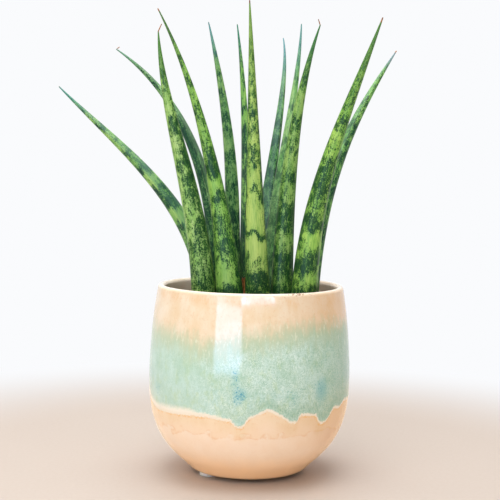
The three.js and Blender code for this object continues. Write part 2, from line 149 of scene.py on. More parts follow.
# Each leaf's axis, form and markings. A mark is a dark (1) or light (-1) patch laid over the
# ones before it: distance from the tip, half length, darkness, and then, where it doesn't go
# round the leaf, its place from left (-1) to right (1), its half width, and its slant. Some
# marks are painted shade or a painted sheen rather than markings; these are noted at their leaves.
LEAVES = {
    "leaf_01": dict(
        root=(-27, 14.5), bends=((-26, 23.5, 163), (-82.5, 34, 197.5)), tip=(-131, 48, 244),
        width=13, fullness=0.23, channel=-45, base=-0.3,
        marks=[
            (6, 8, 0.1), (22, 4, 0.3), (33, 3, -0.2), (42, 3.5, 0.6), (49, 4, -0.7, -0.5, 0.8),
            (59, 4, -0.9, -0.6, 0.7), (66, 3, 0.4), (74, 3, 0.1), (82, 4, 0.6), (92, 4, -0.5, -0.6, 0.9),
            (100, 4, 0.7), (110, 5, 0.8), (121, 4.5, -0.8), (129, 2.5, 0.5), (137, 5, -0.2),
            (147, 5, 0.4), (158, 4, -0.1), (168, 5, 0.5),
        ],
    ),
    "leaf_02": dict(
        root=(-21, 0.5), bends=((-19.5, 11, 155.5), (-31, 25, 228.5)), tip=(-92, 42, 269),
        width=11.5, fullness=0.55, channel=-30, hook=(2.2, -0.5, 1.6), base=0.1,
        marks=[
            (10, 9, 0.15), (24, 3, 0.3), (36, 2.5, 0.5), (44, 3, -0.4), (52, 4, -0.2), (62, 4, 0.2),
            (72, 6, 0.9), (86, 8, 1.0), (98, 4, 0.4), (107, 6, 0.9), (120, 5, 0.3), (132, 6, 0.8),
            (146, 5, 0.3), (158, 6, 0.7),
        ],
    ),
    "leaf_03": dict(
        root=(-28.5, -8.5), bends=((-29, -14, 171), (-56, -21, 218.5)), tip=(-58.5, -30, 273.5),
        width=15.6, fullness=0.42, channel=105, hook=(2, 0.5, 4.6), base=-0.15,
        marks=[
            # The first two marks run the whole leaf: painted shade down its right side, and a painted
            # sheen down its left
            (0, 300, 0.35, 0.8, 0.5), (0, 300, -0.25, -0.4, 0.45),
            (12, 12, 0.25), (27, 4, 0.4), (38, 4, -0.1), (48, 6, -0.5, -0.2, 0.7),
            (57, 5, 1.0, 0.4, 0.8), (63, 3, 0.3, -0.7, 0.4), (68, 5, -0.35, -0.1, 0.6),
            (73, 4, 0.8, 0.75, 0.4), (80, 4, 0.95, 0.6, 0.6), (84, 3, 0.4, -0.5, 0.5),
            (92, 5, 1.0, 0.5, 0.8), (103, 5, 0.55, 0.4, 0.8), (112, 4, -0.2, -0.3, 0.7),
            (122, 6, 0.7, 0.6, 0.7), (133, 5, 0.4), (142, 4, 0), (150, 4, 0.3), (160, 5, 0.35),
            (172, 5, 0.2),
        ],
    ),
    "leaf_04": dict(
        root=(-11, -14), bends=((-15, -13.5, 150.5), (-27.5, -12, 228.5)), tip=(-60.5, -10, 289.5),
        width=17, fullness=-0.34, channel=85, base=-0.15,
        marks=[
            # This first mark is painted shade down the leaf's right edge
            (0, 300, 0.3, 0.95, 0.3),
            (8, 12, 0.5), (24, 4, 0.2), (33, 4, 0.45), (42, 4, -0.3), (50, 2.5, 0.65),
            (58, 4, -0.35), (66, 2.5, 0.6), (73, 3, 0.2), (81, 4, -0.4, -0.2, 0.7), (89, 3, 0.2),
            (97, 3, 0.8, 0.4, 0.8), (105, 5, 0.95, 0.1, 9, -1), (115, 4, -0.8, -0.3, 0.8),
            (124, 4, 0.9, 0.1, 0.9), (131, 3, -0.2, -0.2, 0.6), (137, 4, 0.5), (145, 4, 0.2),
            (154, 5, 0.9, 0.1, 0.9), (164, 5, 0.2), (171, 6, -0.8, -0.15, 0.8),
            (171, 7, 0.9, 0.8, 0.35), (183, 4, 0.9), (192, 5, 0.4),
        ],
    ),
    "leaf_05": dict(
        root=(-13.5, 13), bends=((-12, 21, 164), (-10, 30, 200)), tip=(-31, 44, 288),
        width=12.5, fullness=0.45, channel=35, base=-0.4,
        marks=[
            (12, 12, -0.1), (22, 2.5, 0.3), (29, 4, -0.6, -0.3, 0.8), (36, 3, 0.5),
            (43, 3, -0.4, -0.2, 0.8), (50, 3, 0.4), (58, 4, 0), (66, 4, 0.35), (75, 4, 0.2),
            (84, 3, -0.4), (92, 4, 0.35), (102, 5, -0.1), (112, 4, 0.4), (121, 4, 0),
            (131, 5, 0.6), (141, 4, 0.1), (150, 5, 0.7), (163, 5, -0.5, -0.2, 0.8), (176, 5, 0.6),
        ],
    ),
    "leaf_06": dict(
        root=(-2.5, 4), bends=((-4, 8.5, 152), (-2.5, 13.5, 219)), tip=(-11.5, 20, 284),
        width=11, fullness=0.21, channel=200, base=-0.3,
        marks=[
            (10, 9, 0.3), (26, 5, 0.2), (38, 3, 0.0), (46, 4, -0.6), (54, 3, 0.6), (61, 3, -0.4),
            (70, 4, 0.8), (80, 5, 0.9), (89, 3, 0.3), (98, 5, 0.9), (110, 4, 0.0), (120, 5, 0.5),
            # These last marks, near the leaf's foot, are painted shadow between the leaves
            (134, 7, 1.0), (150, 8, 1.0), (166, 7, 0.9),
        ],
    ),
    "leaf_07": dict(
        root=(6, -13), bends=((1.5, -19, 153), (0, -26.5, 228.5)), tip=(-3.5, -36, 292),
        width=15.6, fullness=0.03, channel=95, base=-0.8,
        marks=[
            # The second to fourth marks run along the leaf's edges and are painted shade
            (0, 95, -0.3), (0, 100, 0.15, -0.95, 0.35), (0, 300, 0.25, -0.98, 0.22),
            (0, 300, 0.3, 0.98, 0.22), (80, 24, 0.3, -0.55, 0.45), (160, 20, 0.35, -0.8, 0.35),
            (6, 9, 0.1), (24, 2.5, 0.4), (32, 2.5, 0.55), (46, 4, 0.2),
            (56, 2.5, 0.35), (66, 4, 0.6, 0.4, 0.9), (73, 2, -0.3), (78, 4, 0.35), (84, 2.5, -0.3),
            (90, 3, 0.5), (97, 4, 0.7, 0.4, 0.8), (104, 8, 0.8, 0.95, 0.28), (105, 4, -0.9, -0.1, 0.7),
            (115, 3, 0.4, 0.2, 0.9), (119, 5, 0.95, 0.9, 0.4), (128, 6, -1, -0.2, 0.8),
            (142, 1.6, 1.0, 0, 9, 2.4), (150, 4, -1), (160, 5, 0, 0.2, 0.6), (170, 4.5, 0.95),
            (177, 4, 0.8), (190, 6, 0.5),
        ],
    ),
    "leaf_08": dict(
        root=(4, 14.5), bends=((3, 27.5, 158.5), (25.5, 44, 246)), tip=(19.5, 66, 280.5),
        width=12, fullness=0.11, channel=250, base=-0.1,
        marks=[
            (10, 12, 0.0), (26, 3, 0.3), (34, 3, -0.5), (44, 4, 0.3), (55, 3, -0.2), (64, 5, 0.5),
            (76, 5, 0.7), (88, 4, 0.1), (98, 5, 0.6), (110, 5, 0.4), (122, 5, 0.1), (134, 6, 0.7),
            (148, 6, 0.3), (162, 6, 0.6),
        ],
    ),
    "leaf_09": dict(
        root=(11.5, 5), bends=((10, 12.5, 164.5), (29, 21.5, 233.5)), tip=(30.5, 34, 286.5),
        width=12, fullness=0.18, channel=230, base=-0.45,
        marks=[
            (10, 12, 0.1), (26, 4, 0.0), (36, 4, -0.1), (47, 5, -0.5), (58, 2.5, 0.5), (67, 5, -0.4),
            (80, 3, 0.6), (90, 4, 0.0), (101, 4, 0.9), (110, 3, 0.0), (120, 5, 0.2), (132, 6, 0.7),
            (145, 5, 0.3), (158, 6, 0.8), (172, 5, 0.6),
        ],
    ),
    "leaf_10": dict(
        root=(20, -4), bends=((19.5, -6, 149), (21.5, -8.5, 224.5)), tip=(40.5, -10, 281),
        width=14.4, fullness=0.36, channel=125, hook=(-1.3, 0.3, 3.8), base=-0.5,
        marks=[
            # The first mark is painted shade down the leaf's right edge
            (0, 300, 0.2, 0.95, 0.25), (8, 14, 0.6), (25, 4, 0.3), (32, 3, 0.7), (38, 3, 0.6),
            (44, 3, -0.1), (52, 4, -0.4, 0, 0.8), (60, 2.5, 0.6), (66, 3, 0.5), (73, 3, 0.1),
            (79, 2, 0.5), (85, 4, -0.25), (93, 3, 0.2), (98, 3, 0.6), (106, 5, -0.1), (113, 2.5, 0.6),
            (121, 5, 1.0), (129, 3, 0.7), (137, 5, -0.2), (147, 4.5, 0.95, 0, 9, 1.5), (156, 5, 0.7),
            (164, 3, 0.3), (171, 5, 0.95), (182, 6, 0.7),
        ],
    ),
    "leaf_11": dict(
        root=(33.5, -12.5), bends=((31, -18, 170.5), (52, -25.5, 212.5)), tip=(76.5, -36, 283),
        width=16.8, fullness=0.18, channel=60, base=-0.05,
        marks=[
            # The first mark is painted shade down the leaf's left edge
            (0, 300, 0.3, -0.98, 0.25), (10, 14, 0.4), (28, 5, 0.4), (40, 4, 0.15), (50, 5, 0.35),
            (60, 3, -0.1), (67, 3, 0.5), (76, 4, -0.1), (85, 5, -0.25, 0.2, 0.8), (92, 3, 0.3),
            (99, 4, 0.8, -0.2, 1.0), (108, 6, 0.75), (118, 5, 0.3), (126, 4, 0.15), (132, 4, 0.8),
            (142, 6, -0.95, 0.15, 0.7), (142, 6, 0.5, -0.98, 0.3), (157, 5, 0.95, -0.1, 9, -5),
            (167, 4, -0.7, 0.2, 0.6), (175, 4, 0.7), (188, 6, 0.4),
        ],
    ),
    "leaf_12": dict(
        root=(36.5, 3), bends=((39.5, 13, 168), (55.5, 26.5, 210.5)), tip=(94.5, 44, 271),
        width=12.8, fullness=0.58, channel=215, base=-0.1,
        marks=[
            (6, 7, 0.2), (20, 5, 0.0), (30, 5, -0.3), (42, 3, 0.3), (52, 4, 0.0), (62, 5, 0.5),
            (74, 4, 0.2), (84, 4, 0.6), (96, 4, 0.3), (108, 5, 0.7), (122, 5, 0.2), (136, 6, 0.7),
            (152, 5, 0.2), (166, 6, 0.6),
        ],
    ),
}

FRONT_LEAVES = ("leaf_03", "leaf_04", "leaf_07", "leaf_10", "leaf_11")
# The last three values of a mark that goes round the leaf, and how much lower marks are behind
ALL_ROUND = (0, 9, 0)
MARKS_DROP = 9

# Dry scale leaf, as in the part's source

SCALE_FOOT = (-5.4, -3.4, 96)
SCALE_TIP = (-4.6, -3.2, 122.5)
SCALE_WIDTH = 7.5
SCALE_THICKNESS = 0.9
SCALE_TAPER = 0.93
SCALE_CUP = 0.9
SCALE_RIBS = 0.07
SCALE_TEAR = 0.05


# Node trees


class Flow:
    """A value inside a node tree. Sums and products of flows add the nodes that make them."""

    def __init__(self, tree, socket):
        self.tree = tree
        self.socket = socket

    def __add__(self, other):
        return maths("ADD", self, other)

    __radd__ = __add__

    def __sub__(self, other):
        return maths("SUBTRACT", self, other)

    def __rsub__(self, other):
        return maths("SUBTRACT", other, self)

    def __mul__(self, other):
        return maths("MULTIPLY", self, other)

    __rmul__ = __mul__

    def __truediv__(self, other):
        return maths("DIVIDE", self, other)

    def __rtruediv__(self, other):
        return maths("DIVIDE", other, self)

    def __neg__(self):
        return self * -1

    def __pow__(self, other):
        return maths("POWER", self, other)

    def split(self):
        return puts(self.tree, "ShaderNodeSeparateXYZ", {0: self}, outs=(0, 1, 2))


def socket_of(sockets, key):
    """A socket by its place, its identifier or its name."""
    if isinstance(key, int):
        return sockets[key]
    for socket in sockets:
        if socket.identifier == key:
            return socket
    return sockets[key]


def put(tree, kind, inputs=(), **settings):
    """Adds a node, with its settings and what goes into it."""
    node = tree.nodes.new(kind)
    for name, value in settings.items():
        setattr(node, name, value)
    for key, value in dict(inputs).items():
        socket = socket_of(node.inputs, key)
        if isinstance(value, Flow):
            tree.links.new(value.socket, socket)
        elif socket.type == "VECTOR" and isinstance(value, (int, float)):
            socket.default_value = (value,) * 3
        else:
            socket.default_value = value
    return node


def puts(tree, kind, inputs=(), outs=(0,), **settings):
    """Adds a node and gives its outputs as flows."""
    node = put(tree, kind, inputs, **settings)
    flows = [Flow(tree, socket_of(node.outputs, out)) for out in outs]
    return flows if len(flows) > 1 else flows[0]


def maths(kind, *values):
    """One step of arithmetic on numbers and flows, for plain values or for vectors."""
    tree = next(value.tree for value in values if isinstance(value, Flow))
    vectors = any(isinstance(value, Flow) and value.socket.type == "VECTOR" for value in values)
    vectors = vectors or any(isinstance(value, tuple) for value in values)
    node = "ShaderNodeVectorMath" if vectors else "ShaderNodeMath"
    out = 1 if kind in ("DOT_PRODUCT", "LENGTH") else 0
    return puts(tree, node, enumerate(values), (out,), operation=kind)


def cross(a, b):
    return maths("CROSS_PRODUCT", a, b)


def dot(a, b):
    return maths("DOT_PRODUCT", a, b)


def unit(a):
    return maths("NORMALIZE", a)


def length(a):
    return maths("LENGTH", a)


def least(a, b):
    return maths("MINIMUM", a, b)


def most(a, b):
    return maths("MAXIMUM", a, b)


def held(a):
    """The value kept between 0 and 1."""
    return least(most(a, 0.0), 1.0)


def ramp(value, low, high):
    """0 below low, 1 above high, and smooth between them. High may be the lower of the two."""
    return puts(
        value.tree, "ShaderNodeMapRange",
        {"Value": value, "From Min": low, "From Max": high},
        interpolation_type="SMOOTHSTEP",
    )


def bell(value, width):
    """1 where the value is 0, falling to nothing a little past the width."""
    return maths("EXPONENT", (value / width) ** 2 * -1)


def between(a, b, share):
    return a + (b - a) * share


def xyz(tree, x, y, z):
    return puts(tree, "ShaderNodeCombineXYZ", {0: x, 1: y, 2: z})


def stretched(place, stretch):
    """The place at which a pattern is read, so that it comes out that much longer on each axis."""
    return place * tuple(1 / step for step in stretch) if stretch else place


def noise(place, size, detail, rough, stretch=None, warp=0.0):
    """Soft noise from 0 to 1, with spots about as large as the size."""
    return puts(place.tree, "ShaderNodeTexNoise", {
        "Vector": stretched(place, stretch), "Scale": 1 / size, "Detail": detail,
        "Roughness": rough, "Distortion": warp,
    })


def cells(place, size, feature="F1", stretch=None):
    """Distance to the nearest of many scattered points, which lie about a size apart."""
    inputs = {"Vector": stretched(place, stretch), "Scale": 1 / size}
    return puts(place.tree, "ShaderNodeTexVoronoi", inputs, feature=feature)


def paint(hexes):
    """A colour as the eye sees it, turned into the amounts of light that nodes work with."""
    parts = [int(hexes[start:start + 2], 16) / 255 for start in (0, 2, 4)]
    light = [p / 12.92 if p <= 0.04045 else ((p + 0.055) / 1.055) ** 2.4 for p in parts]
    return (*light, 1.0)


def mixed(share, a, b):
    """Colour a, turning into colour b as the share goes from 0 to 1."""
    a, b = (paint(c) if isinstance(c, str) else c for c in (a, b))
    return puts(
        share.tree, "ShaderNodeMix",
        {"Factor_Float": share, "A_Color": a, "B_Color": b},
        ("Result_Color",), data_type="RGBA",
    )


def attribute(tree, name, out="Fac"):
    return puts(tree, "ShaderNodeAttribute", {}, (out,), attribute_name=name)


def object_place(tree):
    """A point's place on the object, in millimetres."""
    return puts(tree, "ShaderNodeTexCoord", {}, ("Object",)) * 1000.0


def new_material(name, **values):
    """A material with one Principled shader and the given plain values on its sockets."""
    made = bpy.data.materials.new(name)
    made.use_nodes = True
    tree = made.node_tree
    shader = tree.nodes["Principled BSDF"]
    for key, value in values.items():
        shader.inputs[key.replace("_", " ")].default_value = value
    return made, tree, shader


def dress(shader, colour, rough, height, bump, reach):
    """Joins what changes over a surface to its shader. The bump's reach is in millimetres."""
    tree = shader.id_data
    relief = {"Height": height, "Strength": bump, "Distance": reach * MM}
    normal = puts(tree, "ShaderNodeBump", relief)
    for name, value in (("Base Color", colour), ("Roughness", rough), ("Normal", normal)):
        tree.links.new(value.socket, shader.inputs[name])


def new_group(name, kind, inputs, outputs):
    """An empty node group with named inputs and outputs, and its inputs as flows."""
    tree = bpy.data.node_groups.new(name, kind)
    for side, sockets in (("INPUT", inputs), ("OUTPUT", outputs)):
        for title, form in sockets.items():
            tree.interface.new_socket(title, in_out=side, socket_type="NodeSocket" + form)
    start = tree.nodes.new("NodeGroupInput")
    end = tree.nodes.new("NodeGroupOutput")
    return tree, {title: Flow(tree, start.outputs[title]) for title in inputs}, end


def give(end, **values):
    """Joins a group's results to its outputs."""
    tree = end.id_data
    for title, value in values.items():
        tree.links.new(value.socket, end.inputs[title])


def skin_group(name, inputs):
    """An empty shader group for a surface's colour, roughness and relief."""
    outputs = {"Color": "Color", "Roughness": "Float", "Height": "Float"}
    return new_group(name, "ShaderNodeTree", inputs, outputs)


def skin_material(name, group, inputs, bump, reach, **values):
    """A material with a shader group on it, which is given this material's own values."""
    made, tree, shader = new_material(name, **values)
    outs = ("Color", "Roughness", "Height")
    skin = puts(tree, "ShaderNodeGroup", inputs, outs, node_tree=group)
    dress(shader, *skin, bump, reach)
    return made


# Meshes


def new_piece(name, mesh, *materials):
    piece = bpy.data.objects.new(name, mesh)
    bpy.context.scene.collection.objects.link(piece)
    for made in materials:
        mesh.materials.append(made)
    return piece


def mesh_of(name, points, faces):
    """A smooth mesh from points in millimetres."""
    mesh = bpy.data.meshes.new(name)
    mesh.from_pydata((np.asarray(points, float) * MM).tolist(), [], faces)
    mesh.validate()
    mesh.polygons.foreach_set("use_smooth", [True] * len(mesh.polygons))
    mesh.update()
    return mesh


def skin_over(rings, start, end):
    """Points and faces of a closed skin over rings of points, from the bottom to the top."""
    count, sides = rings.shape[:2]
    points = np.concatenate([rings.reshape(-1, 3), [start, end]])
    side = np.arange(sides)
    after = (side + 1) % sides
    faces = []
    for ring in range(count - 1):
        low, high = ring * sides, (ring + 1) * sides
        faces += np.stack([low + side, low + after, high + after, high + side], 1).tolist()
    last = (count - 1) * sides
    faces += np.stack([np.full(sides, count * sides), after, side], 1).tolist()
    faces += np.stack([np.full(sides, count * sides + 1), last + side, last + after], 1).tolist()
    return points, faces


def turned_rings(outline, columns):
    """Rings of points of a turned shape, from its outline as radius and height."""
    turn = np.linspace(0, 2 * np.pi, columns, endpoint=False)
    return np.stack([
        np.outer(outline[:, 0], np.cos(turn)),
        np.outer(outline[:, 0], np.sin(turn)),
        np.repeat(outline[:, 1:], columns, 1),
    ], 2)


def add_attribute(mesh, name, values):
    mesh.attributes.new(name, "FLOAT", "POINT").data.foreach_set("value", values.astype(np.float32))


def made_by_nodes(name, tree, values, base=None):
    """The plain mesh that a tree of geometry nodes makes with the given values."""
    maker = new_piece(name + "_maker", base or bpy.data.meshes.new(name + "_maker"))
    nodes = maker.modifiers.new("maker", "NODES")
    nodes.node_group = tree
    for item in tree.interface.items_tree:
        if item.in_out == "INPUT" and item.name in values:
            nodes[item.identifier] = values[item.name]
    finished = maker.evaluated_get(bpy.context.evaluated_depsgraph_get())
    mesh = bpy.data.meshes.new_from_object(finished)
    mesh.name = name
    bpy.data.objects.remove(maker)
    return mesh


def finish_piece(piece, slot, *nodes):
    """Puts a piece on the plant's one body, in place of its solids."""
    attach(piece, "root")
    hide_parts(*nodes)


# Pot


def wall_curve(count):
    """Evenly spaced points of the pot's outer wall, and the way that the wall runs there."""
    given = np.array(WALL_OUTLINE, float)
    around = np.vstack([given[0], given, given[-1]])
    fine = []
    steps = 60
    t = np.linspace(0, 1, steps, endpoint=False)[:, None]
    for start in range(len(given) - 1):
        before, a, b, after = around[start:start + 4]
        leave, arrive = (b - before) / 2, (after - a) / 2
        fine.append(
            (2 * a - 2 * b + leave + arrive) * t**3
            + (-3 * a + 3 * b - 2 * leave - arrive) * t**2 + leave * t + a
        )
    fine = np.vstack([*fine, given[-1:]])
    run = np.r_[0, np.cumsum(np.linalg.norm(np.diff(fine, axis=0), axis=1))]
    at = np.linspace(0, run[-1], count)
    points = np.stack([np.interp(at, run, fine[:, axis]) for axis in (0, 1)], 1)
    along = np.gradient(points, axis=0)
    return points, along / np.linalg.norm(along, axis=1)[:, None]


def round_edge(given, angles):
    """Heights at any angles from given ones, with rounded corners."""
    given = np.array(given, float)
    step, corner, reach = 0.25, 0.6, 16
    fine = np.arange(-180, 180, step)
    heights = np.interp(fine, given[:, 0], given[:, 1], period=360)
    weights = np.exp(-((np.arange(-reach, reach + 1) * step / corner) ** 2))
    heights = np.convolve(np.pad(heights, reach, "wrap"), weights / weights.sum(), "valid")
    return np.interp(angles, fine, heights, period=360)


def pot_outline():
    """The pot's outline from the middle of its underside, over the lip, to the middle of its
    floor, and the numbers of the points where the outer wall starts and ends."""
    outer = wall_curve(WALL_STEPS)[0]
    inner, along = wall_curve(INNER_STEPS)
    inner = inner + WALL_THICKNESS * np.stack([-along[:, 1], along[:, 0]], 1)
    inner = inner[inner[:, 1] > FLOOR_HEIGHT + 1]
    middle = (outer[-1] + inner[-1]) / 2
    lip = np.linalg.norm(outer[-1] - inner[-1]) / 2
    turn = np.linspace(0, math.pi, LIP_STEPS + 2)[1:-1, None]
    crest = middle + lip * np.hstack([np.cos(turn), np.sin(turn)])
    under = [(radius, 0) for radius in (8, 16, 24, 30, 33.5, 34.6)]
    floor = [(inner[0, 0] - step, FLOOR_HEIGHT) for step in (1.2, 3, 8, 16, 26, 34)]
    # The wall meets the floor in a small round
    floor[0] = (floor[0][0], FLOOR_HEIGHT + 0.3)
    outline = np.vstack([under, outer, crest, inner[::-1], floor])
    return outline, len(under), len(under) + WALL_STEPS


def pot_piece(glaze, clay):
    """The turned pot, with the raised second glaze, and what its colours need at each point."""
    outline, first, last = pot_outline()
    turn = np.linspace(0, 2 * np.pi, POT_COLUMNS, endpoint=False)
    # Columns start at the back, so that no seam faces the viewer
    angle = np.degrees(turn) - 180
    across, up = np.sin(np.radians(angle)), -np.cos(np.radians(angle))
    radius = np.repeat(outline[:, :1], POT_COLUMNS, 1)
    height = np.repeat(outline[:, 1:], POT_COLUMNS, 1)
    edge = round_edge(DRIP_EDGE, angle)
    green = round_edge(GREEN_TOP, angle)
    above_drip = height - edge
    below_green = green - height
    wall = np.zeros_like(radius)
    wall[first:last] = 1
    # The outside takes in most of the lip's crest
    outside = np.zeros_like(radius)
    outside[first:last + LIP_STEPS - 2] = 1
    # The second glaze lies thicker on the first, most of all in the bead along its edge
    layer = np.clip(above_drip / 1.2, 0, 1) * np.clip(below_green / 14 + 0.7, 0, 1)
    bead = np.exp(-(((above_drip - 1.1) / 1.5) ** 2))
    low = np.clip((45 - edge) / 6, 0, 1)
    radius = radius + wall * (COAT_DEPTH * layer + bead * (BEAD_DEPTH + DRIP_DEPTH * low))
    rings = np.stack([radius * across, radius * up, height], 2)
    points, faces = skin_over(rings, (0, 0, 0), (0, 0, FLOOR_HEIGHT))
    mesh = mesh_of("glazed_pot", points, faces)
    pools = np.zeros_like(radius)
    for pool_angle, pool_height, half_width, half_height, strength in BLUE_POOLS:
        off = np.radians((angle - pool_angle + 180) % 360 - 180) * WALL_RADIUS / half_width
        spot = np.exp(-(off**2) - ((height - pool_height) / half_height) ** 2)
        pools = np.maximum(pools, spot * strength)
    # Each value on the grid of points, and at the two ends, where the outline meets the axis
    for name, grid, end in (
        ("above_drip", above_drip * outside + NO_DRIP * (1 - outside), NO_DRIP),
        ("below_green", below_green, 90),
        ("blue_pool", pools * outside, 0),
        ("outside", outside, 0),
    ):
        add_attribute(mesh, name, np.r_[grid.ravel(), end, end])
    piece = new_piece("glazed_pot", mesh, glaze, clay)
    # The flat underside is bare clay
    heights = [max(mesh.vertices[v].co.z for v in face.vertices) for face in mesh.polygons]
    mesh.polygons.foreach_set("material_index", [int(z < 0.05 * MM) for z in heights])
    finish_piece(piece, "glaze", "pot")


def glaze_patterns(tree):
    """What all parts of the glaze's colour read: places on the pot, and noise of several sizes."""
    place = object_place(tree)
    across, _, height = place.split()
    runs = noise(place, 2.6, 4, 0.6, stretch=(1, 1, 5))
    fine_runs = noise(place, 0.9, 3, 0.6, stretch=(1, 1, 6))
    cloud = noise(place, 11, 3, 0.5)
    ragged = (runs - 0.5) * 13 + (fine_runs - 0.5) * 5 + (cloud - 0.5) * 7
    return SimpleNamespace(
        place=place, across=across, height=height,
        drip=attribute(tree, "above_drip"), depth=attribute(tree, "below_green") + ragged,
        pool=attribute(tree, "blue_pool"), outside=attribute(tree, "outside"),
        runs=runs, fine_runs=fine_runs, cloud=cloud,
        mottle=noise(place, 1.6, 4, 0.62), grit=noise(place, 1.0, 2, 0.6),
    )


def tan_glaze(on):
    """The tan ground, more orange and patchy near the lip and just under the green."""
    colour = mixed(ramp(on.cloud + (on.runs - 0.5) * 0.35, 0.3, 0.7), "e9d8c0", "e5ccaa")
    colour = mixed(ramp(on.fine_runs, 0.5, 0.75) * 0.3, colour, "f1dcc2")
    colour = mixed(ramp(on.mottle, 0.54, 0.66) * 0.3, colour, "dcb283")
    patches = bell(on.height - 113, 3.2) * ramp(on.fine_runs + on.cloud, 0.8, 1.2)
    colour = mixed(patches * 0.3, colour, "e0ac76")
    colour = mixed(ramp(on.drip, -1, -12) * 0.65, colour, "f2e0d3")
    # Towards the right it is browner, most of all low down: painted shade on the side away from the
    # light, warmed low down as a painted reflection of warm light from below
    right = ramp(on.across, 5, 64) * ramp(on.height, 0, 60)
    colour = mixed(right * 0.55, colour, "dfae7a")
    painted_low_right_shade = ramp(on.across, 34, 62) * ramp(on.height, 62, 30)
    colour = mixed(painted_low_right_shade * 0.6, colour, "d69e68")
    # The upper of its two coats ends in scallops, and the foot is peach
    scallops = cells(on.place, 6.5, "SMOOTH_F1", stretch=(1, 1, 0.6))
    skirt = on.height - 31.5 + (scallops - 0.5) * 11 + (on.cloud - 0.5) * 5 + (on.mottle - 0.5) * 2
    colour = mixed(ramp(skirt, -0.6, 1.2) * ramp(on.drip, 1, -2) * 0.35, colour, "ecceaa")
    colour = mixed(bell(skirt, 0.8) * ramp(on.runs, 0.3, 0.6) * 0.5, colour, "e3b682")
    # The foot's peach is partly its own colour and partly lightened, as painted warm light bounced up
    # from below
    foot = ramp(on.height + (on.cloud - 0.5) * 8, 22, 3)
    return mixed(foot * 0.8, colour, "ffd8aa")


def green_glaze(on):
    """The green band: olive where it starts, then mint with pale crystals, bluer lower down."""
    olive = mixed(on.mottle, "c3cbae", "b1c4a6")
    wash = ramp(on.cloud * 0.7 + on.runs * 0.3, 0.36, 0.64)
    mint = mixed(wash, "93bba2", "aecfc2")
    low_mint = mixed(wash, "92bdae", "abcfca")
    mint = mixed(ramp(on.drip, 34, 8), mint, low_mint)
    leafy = noise(on.place, 4.5, 3, 0.6, stretch=(1, 1, 1.8))
    mint = mixed(ramp(leafy, 0.5, 0.66) * 0.6, mint, "9fbf90")
    # Pale crystals: worms in patches, and hairs all over. Both fade towards the calm left side.
    calm = ramp(on.across + (on.cloud - 0.5) * 30, -8, -40) * 0.5
    bent = on.place + xyz(on.place.tree, 0, 0, on.mottle * 3)
    worms = bell(noise(bent, 1.3, 1, 0.5, warp=2.0) - 0.5, 0.045)
    patchy = ramp(noise(on.place, 6, 2, 0.5), 0.3, 0.55)
    mint = mixed(worms * patchy * (0.9 - calm), mint, "e0eee6")
    hairs = bell(noise(on.place, 0.85, 1, 0.5, warp=1.5) - 0.5, 0.06)
    mint = mixed(hairs * (0.6 - calm * 0.6), mint, "deece6")
    # Darker specks and veins between the crystals
    mint = mixed(ramp(on.grit, 0.54, 0.64) * (0.45 - calm * 0.4), mint, "86b29a")
    veins = ramp(noise(on.place, 1.3, 3, 0.6, stretch=(1, 1, 2.5)), 0.52, 0.7)
    mint = mixed(veins * 0.4, mint, "91b798")
    mint = mixed(calm * 0.55, mint, "c8dfd3")
    # The pools: a blue wash, dotted with deeper blue
    right = ramp(on.across, 15, 40)
    mint = mixed(ramp(on.pool, 0.1, 0.85) * (right * 0.3 + 0.5), mint, "80bcc0")
    dots = on.grit * 1.7 + noise(on.place, 0.5, 2, 0.6) * 0.6 + on.pool * (0.62 - right * 0.12)
    mint = mixed(ramp(dots, 1.66, 1.8) * 0.9, mint, "4f98ad")
    band = mixed(ramp(on.depth, 2, 17), olive, mint)
    # Darker towards the right: painted shade on the side away from the light
    return mixed(ramp(on.across, 24, 66) * 0.55, band, "87a88a")


